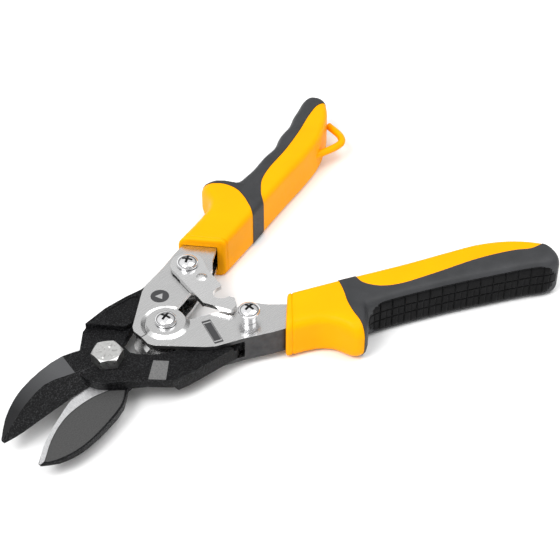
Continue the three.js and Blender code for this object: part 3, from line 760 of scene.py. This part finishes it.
# Shallow hollows for the fingers: where each begins along the grip, and its depth. The steel frame lies
# close under the first.
FINGER_HOLLOWS = {"a": ((50, 0.2), (69, 1.0), (88, 1.0)), "b": ()}
HOLLOW_LENGTH = 19
INNER_ROUND = 3.0
OUTER_ROUND = 4.6
END_ROUND = 4.5
MOUTH_ROUND = 1.4
GUARD_ROUND = 3.2  # how much rounder the finger guard's long edges are
GUARD_REACH = 14  # how far that rounding reaches along the grip
RIM_AT = 3.4  # groove behind the mouth's rim, from the grip's front
RIM_DEPTH = 0.35
RIM_WIDTH = 0.6
MOUTH_SLANT = 0.42
SLANT_LENGTH = 22
WALL = 2.4
SKIN = 0.2  # how far the rubber stands out from the yellow
CORE_START = 16  # the rubber lies round a drawn-in core from here
CORE_MARGIN = 8  # and up to this far before the grip's end
PAD_RISE = 7.8  # half the pad's height
PAD_PITCH = 6.0
PAD_ROWS = (3.0, -1.6)  # heights of the long grooves, from the grip's middle
GROOVE = 0.42
STATION_STEP = 1.5
FINE_STEPS = (-0.7, -0.45, -0.2, 0, 0.2, 0.45, 0.7)  # the mesh's places across a groove
END_STEPS = (0.15, 0.4, 0.8, 1.4, 2.2, 3.2, 4.4)
GUARD = {"a": 39.5, "b": 28.0}
LOOP_RADIUS = 1.8
LOOP_ROUTE = ((0.56, -7.5), (0.75, -14.6), (0.8, -14.8), (0.845, -12), (0.9, -3))  # share of the grip, t
POCKET = [(-25, -6), (-9.5, -14.4), (-4, -10.8), (4, -7.9), (85, -5.7), (85, 5.7), (0, 6.7), (-25, 6.9)]
POCKET_HALF = 6.7  # half the height of the hole that the steel frame lies in
FRONT = {
    "a": [
        (29.3, -14), (29.6, -12), (33.3, -7.5), (37.8, -1.6),
        (40.6, 3.8), (41.1, 10.5), (38.6, 17.7), (38, 26),
    ],
    "b": [(29.3, -14), (29.1, -9.4), (28.7, -3.2), (27.6, 4.2), (27.6, 11.8), (28.5, 18), (28.7, 26)],
}
PANEL = {
    "a": [
        (38.8, -14), (39.6, -11.8), (42.5, -8.6), (46.3, -6), (52.4, -2.9), (61.6, -1.2),
        (77.9, -0.8), (94.1, 0.8), (110.1, 3.3), (118.3, 3.4), (124, 0),
    ],
    "b": [
        (37.3, -14), (37.5, -8.5), (38.7, -4.9), (44.4, -0.4), (52.5, 1.6),
        (68.9, 0.9), (92.9, -1.2), (110, -0.6), (118.3, 1), (124, 0),
    ],
}


def share(key, f):
    """A place between the guard and the grip's end, as s, from its share of that length."""
    return 45 + f * (GRIP_END[key] - 45)


def grip_outline(key):
    guard, side, slim = GUARD[key], GRIP_SIDE[key], GRIP_SLIM[key]
    inner = [(5.6, -11.3), (29, -11.3), (share(key, 0.2), -10.9), (share(key, 0.45), 0.2 * slim - 11.3),
             (share(key, 0.62), 0.6 * slim - 11.1), (share(key, 0.77), slim - 8.6),
             (share(key, 0.89), slim - 4.4), (share(key, 0.975), 1 + slim)]
    end = [(share(key, 1), 6.4 + 0.5 * slim), (share(key, 0.98), 11.2), (share(key, 0.93), 12.6)]
    outer = [(share(key, 0.8), 11.1), (share(key, 0.6), (side + 10.6) / 2), (share(key, 0.45), side),
             (share(key, 0.28), side - 0.7)]
    guard_back = [(guard + 16, side - 0.8), (guard + 9, side + 0.3), (guard + 5.8, side + 3),
                  (guard + 4.2, 16.5), (guard + 2.4, 20.1), (guard - 0.8, 21.7)]
    guard_front = [(guard - 4, 20.1), (guard - 6.4, 16.6), (guard - 9.6, 12.6), (guard - 14, 10),
                   (guard - 21, 9), (-3, 9)]
    rows = inner + end + outer + guard_back + guard_front
    return flat_curve(rows, 12)


def branches(key):
    """The inner and the outer side of a grip's outline, each with s rising."""
    points = grip_outline(key)
    tip = max(range(len(points)), key=lambda i: points[i][0])
    return points[: tip + 1], points[tip:][::-1]


def read(branch, s):
    """How far out a branch of the outline lies at s."""
    if s <= branch[0][0]:
        return branch[0][1]
    for (s0, t0), (s1, t1) in zip(branch, branch[1:]):
        if s0 <= s <= s1 and s1 > s0:
            return t0 + (t1 - t0) * (s - s0) / (s1 - s0)
    return branch[-1][1]


def falling(distance, radius):
    """How far a rounding of that radius has drawn in, at a distance from the end."""
    if distance >= radius:
        return 0.0
    rest = radius - max(distance, 0)
    return radius - math.sqrt(max(radius * radius - rest * rest, 0))


def groove_depth(offset, width=0.45):
    """A groove's depth at an offset from its middle, as a share of its full depth."""
    return max(0.0, 1 - abs(offset) / width)


def pad_span(key):
    """Where the grooved pad starts and ends along the grip."""
    return GUARD[key] + 7.5, GRIP_END[key] - 3.5


def pad_relief(key, s, rise):
    """How deep the pad's grooves are at a place on the outer side, and whether it lies on the pad."""
    start, end = pad_span(key)
    half = (end - start) / 2
    along = abs(s - (start + end) / 2) - (half - PAD_RISE)
    distance = math.hypot(max(along, 0), rise) - PAD_RISE
    if distance > 0.5:
        return 0.0, False
    depth = groove_depth(distance)
    if distance < 0:
        step = (s - start) % PAD_PITCH
        depth = max(depth, groove_depth(min(step, PAD_PITCH - step)))
        if rise < PAD_ROWS[0]:
            middle = abs(step - PAD_PITCH / 2)
            depth = max(depth, 0.6 * groove_depth(middle))
        for row in PAD_ROWS:
            depth = max(depth, 0.8 * groove_depth(rise - row))
    return GROOVE * depth, distance < 0.1


def thinned(marks, gap):
    """The marks in order, without those that lie closer than gap to the one before."""
    ordered = sorted(marks)
    kept = [ordered[0]]
    for mark in ordered[1:]:
        if mark - kept[-1] > gap:
            kept.append(mark)
    return kept


def stations(key, low, high):
    """Places along the grip, close together at the pad's grooves."""
    marks = {low, high}
    marks.update(low + STATION_STEP * i for i in range(math.ceil((high - low) / STATION_STEP)))
    start, end = pad_span(key)
    for k in range(math.ceil((end - start) / (PAD_PITCH / 2))):
        marks.update(start + k * PAD_PITCH / 2 + d for d in FINE_STEPS)
    rim = GRIP_START + RIM_AT
    marks.update(rim + d for d in (-0.6, -0.3, 0, 0.3, 0.6) if low < rim)
    for edge, sign in ((low, 1), (high, -1)):
        marks.update(edge + sign * d for d in END_STEPS)
    kept = thinned((m for m in marks if low <= m <= high), 0.12)
    kept[-1] = high
    return kept


def rises():
    """Heights on the outer side from the grip's middle, close together at the pad's grooves."""
    straight = SHEAR_PLANE - OUTER_ROUND
    marks = {straight + OUTER_ROUND * math.sin(math.pi / 2 * i / 8) for i in range(9)}
    marks |= {-m for m in marks}
    marks.update((0.0, 1.5, -3.2, 4.4, -4.6))
    for row in (PAD_RISE, *PAD_ROWS, -PAD_RISE):
        marks.update(row + d for d in (-0.6, -0.45, -0.2, 0, 0.2, 0.45, 0.6))
    kept = thinned(marks, 0.1)
    kept[-1] = SHEAR_PLANE
    return kept


RISES = rises()


def section(key, sides, s, drawn, textured):
    """One loop round the grip at s, drawn in by a distance."""
    inner, outer = sides
    front = falling(s - GRIP_START, MOUTH_ROUND)
    front += RIM_DEPTH * groove_depth(s - GRIP_START - RIM_AT, RIM_WIDTH)
    back = falling(GRIP_END[key] - s, END_ROUND)
    low_t = read(inner, s) + drawn + front
    high_t = read(outer, s) - drawn - front
    if high_t - low_t < 1.0:
        middle = (high_t + low_t) / 2
        low_t, high_t = middle - 0.5, middle + 0.5
    half = SHEAR_PLANE - drawn - front - back
    squeeze = half / SHEAR_PLANE
    width = high_t - low_t
    softer = math.cos(math.pi / 2 * min(abs(s - GUARD[key]) / GUARD_REACH, 1)) ** 2
    corner_height = OUTER_ROUND + GUARD_ROUND * softer
    outer_round = min(corner_height, width * 0.5)
    inner_round = min(INNER_ROUND, width * 0.4)
    straight = SHEAR_PLANE - corner_height
    hollow = 0.0
    for start, depth in FINGER_HOLLOWS[key]:
        if start < s < start + HOLLOW_LENGTH:
            hollow = depth * (0.5 - 0.5 * math.cos(math.tau * (s - start) / HOLLOW_LENGTH))
    loop = []
    for rise in RISES:
        over = max(abs(rise) - straight, 0) / corner_height
        t = high_t - outer_round * (1 - math.sqrt(max(1 - over * over, 0)))
        t -= hollow
        if textured:
            t -= pad_relief(key, s, rise)[0]
        loop.append((t, rise * squeeze))
    across = low_t + inner_round - high_t + outer_round
    top = [(high_t - outer_round + across * i / 10, half) for i in range(1, 10)]
    corner = []
    for i in range(7):
        angle = math.pi / 2 * i / 6
        drop = inner_round * (1 - math.cos(angle))
        corner.append((low_t + inner_round * (1 - math.sin(angle)), half - drop))
    side = [(low_t, (half - inner_round) * (1 - 2 * i / 6)) for i in range(1, 6)]
    under_corner = [(t, -z) for t, z in reversed(corner)]
    bottom = [(t, -z) for t, z in reversed(top)]
    loop += top + corner + side + under_corner + bottom
    slant = MOUTH_SLANT * max(0.0, 1 - max(s - GRIP_START, 0) / SLANT_LENGTH)
    return [(s + (9 - t) * slant, t, z) for t, z in loop]


def placed(side, s, t, z):
    """A place on a grip, in the frame's axes and never below the surface that the tool lies on."""
    x = MOUTH.x + s * math.cos(HANDLE_TURN) - t * math.sin(HANDLE_TURN)
    y = MOUTH.y + s * math.sin(HANDLE_TURN) + t * math.cos(HANDLE_TURN)
    return x, side * y, max(SHEAR_PLANE + z, 0)


def ground_plan(side, outline):
    return [placed(side, s, t, 0)[:2] for s, t in outline]


def grip_solid(key, side, drawn=0.0, low=GRIP_START, high=None, textured=False):
    sides = branches(key)
    high = high or GRIP_END[key]
    loops = []
    for s in stations(key, low, high):
        loops.append([placed(side, *p) for p in section(key, sides, s, drawn, textured)])
    return lofted(loops)


def rubber_region(key, side, shrink):
    """The stretch of the grip that the rubber covers, as an upright solid that reaches past the grip."""
    front = flat_curve([(s + shrink, t) for s, t in FRONT[key]], 8)
    panel = flat_curve([(s - shrink * (t < -8), t + shrink * (t >= -8)) for s, t in PANEL[key]], 8)
    far = [(140, -4), (140, 40), (FRONT[key][-1][0] + shrink, 40)]
    return prism(ground_plan(side, panel + far + front[::-1]), -5, 30)


def loop_bar(side):
    """The hanging loop, a bar from the grip's inner side to its end."""
    points = [placed(side, share("a", f), t, 0) for f, t in LOOP_ROUTE]
    return swept(curve_through(points, 8), LOOP_RADIUS)


def grip(key, side):
    core = grip_solid(key, side)
    combine(core, rubber_region(key, side, 0), "DIFFERENCE", "MANIFOLD")
    core_end = GRIP_END[key] - CORE_MARGIN
    combine(core, grip_solid(key, side, WALL, CORE_START, core_end), "UNION", "MANIFOLD")
    if key == "a":
        combine(core, loop_bar(side), "UNION", "MANIFOLD")
    pocket = prism(ground_plan(side, POCKET), SHEAR_PLANE - POCKET_HALF, SHEAR_PLANE + POCKET_HALF)
    combine(core, pocket, "DIFFERENCE", "MANIFOLD")
    install(shaded(paint(core, YELLOW), 40), f"grip_{key}_core", f"grip_core_{key}")

    rubber = grip_solid(key, side, -SKIN, textured=True)
    combine(rubber, rubber_region(key, side, 0.12), "INTERSECT", "MANIFOLD")
    hole = grip_solid(key, side, WALL - SKIN, CORE_START, core_end + SKIN)
    combine(rubber, hole, "DIFFERENCE", "MANIFOLD")
    paint(rubber, CHARCOAL, PAD)

    def on_pad(centre, normal):
        x, y = centre.x - MOUTH.x, centre.y * side - MOUTH.y
        s = x * math.cos(HANDLE_TURN) + y * math.sin(HANDLE_TURN)
        t = -x * math.sin(HANDLE_TURN) + y * math.cos(HANDLE_TURN)
        return t > 0 and pad_relief(key, s, centre.z - SHEAR_PLANE)[1]

    number_faces(rubber, 1, on_pad)
    install(shaded(rubber, 40), f"grip_{key}_rubber", f"grip_overmould_{key}")


# ---------------------------------------------------------------- assembly
upper_blade()
lower_blade()
pivot_bolt()
plain_piece("blade_pivot_nut", "pivot_nut", 0.3, ZINC)
plain_piece("blade_pivot_lock_washer", "pivot_lock_washer", 0.2, ZINC)
frame_a()
frame_b()
plain_piece("handle_pivot_sleeve", "pivot_sleeve", 0.15, ZINC)
screw("handle_pivot_screw", "handle_screw", 20)
screw("latch_pivot_screw", "latch_screw", 35)
screw("latch_stud", "latch_stud_screw", 10, collar=4.6)
for owner in ("handle_pivot", "latch_pivot", "latch_stud"):
    plain_piece(f"{owner}_nut", f"{owner}_hex_nut", 0.25, ZINC)
for key, side in SIDES:
    for level in ("upper", "lower"):
        plain_piece(f"tang_washer_{key}_{level}", f"spacer_{key}_{level}", 0.15, ZINC)
    grip(key, side)
plain_piece("latch_wave_washer", "wave_washer", 0.08, SPRING_WIRE)
latch()
opening_spring()


# ---------------------------------------------------------------- floor, lights and camera
FLOOR_HALF = 4000
FLOOR_Z = -0.05  # just under the tool, so that no two faces lie in one plane


def floor():
    corners = ((-1, -1), (1, -1), (1, 1), (-1, 1))
    piece = fresh("floor", [(x * FLOOR_HALF, y * FLOOR_HALF, FLOOR_Z) for x, y in corners], [(0, 1, 2, 3)])
    paint(piece, shader("floor_white", (0.9, 0.9, 0.9), 0, 0.9, specular=0.0))


def softbox(name, place, target, size, power):
    light = bpy.data.lights.new(name, "AREA")
    light.shape = "RECTANGLE"
    light.size, light.size_y = size
    light.energy = power
    lamp = bpy.data.objects.new(name, light)
    SCENE.collection.objects.link(lamp)
    lamp.location = place
    lamp.rotation_euler = (Vector(target) - Vector(place)).to_track_quat("-Z", "Y").to_euler()


WORLD_HEIGHTS = ((0, 0.95), (0.22, 0.9), (0.3, 0.1), (0.4, 0.12), (0.5, 0.9), (1, 1))  # height, brightness
WORLD_BRIGHT = (-0.55, 0.5, 0.67)  # direction of the studio's brighter side


def surroundings():
    """A pale studio with a dark band above its horizon, a little dimmer on the camera's side."""
    world = bpy.data.worlds.new("studio")
    SCENE.world = world
    world.use_nodes = True
    nodes, links = world.node_tree.nodes, world.node_tree.links
    background = nodes["Background"]
    place = nodes.new("ShaderNodeTexCoord")
    split = nodes.new("ShaderNodeSeparateXYZ")
    links.new(place.outputs["Generated"], split.inputs["Vector"])
    ramp = nodes.new("ShaderNodeValToRGB")
    stops = ramp.color_ramp.elements
    while len(stops) < len(WORLD_HEIGHTS):
        stops.new(1)
    for stop, (height, value) in zip(stops, WORLD_HEIGHTS):
        stop.position = height
        stop.color = (value, value, value, 1)
    links.new(split.outputs["Z"], ramp.inputs["Fac"])
    links.new(ramp.outputs["Color"], background.inputs["Color"])
    dot = nodes.new("ShaderNodeVectorMath")
    dot.operation = "DOT_PRODUCT"
    dot.inputs[1].default_value = WORLD_BRIGHT
    links.new(place.outputs["Generated"], dot.inputs[0])
    span = nodes.new("ShaderNodeMapRange")
    for key, value in (("From Min", -0.5), ("From Max", 0.9), ("To Min", 0.6), ("To Max", 1.1)):
        span.inputs[key].default_value = value
    links.new(dot.outputs["Value"], span.inputs["Value"])
    links.new(span.outputs["Result"], background.inputs["Strength"])
    SCENE.view_settings.view_transform = "Standard"


CAMERA_LENS = 102.95  # millimetres, on a 36 mm sensor
CAMERA_DISTANCE = 0.719
CAMERA_AHEAD = (0.481, 0.566, -0.670)
CAMERA_TARGET = Vector((90.81, -5.17, SHEAR_PLANE)) * MM


def camera():
    lens = bpy.data.cameras.new("camera")
    lens.sensor_width = 36
    lens.lens = CAMERA_LENS
    viewer = bpy.data.objects.new("camera", lens)
    SCENE.collection.objects.link(viewer)
    ahead = Vector(CAMERA_AHEAD).normalized()
    viewer.location = CAMERA_TARGET - ahead * CAMERA_DISTANCE
    viewer.rotation_euler = ahead.to_track_quat("-Z", "Y").to_euler()
    SCENE.camera = viewer


floor()
surroundings()
softbox("key", (-0.75, -0.1, 1.1), (0.05, 0, 0), (0.6, 0.6), 12)
softbox("fill", (0.5, -0.5, 1.3), (0.1, 0, 0), (1.0, 1.0), 9)
camera()
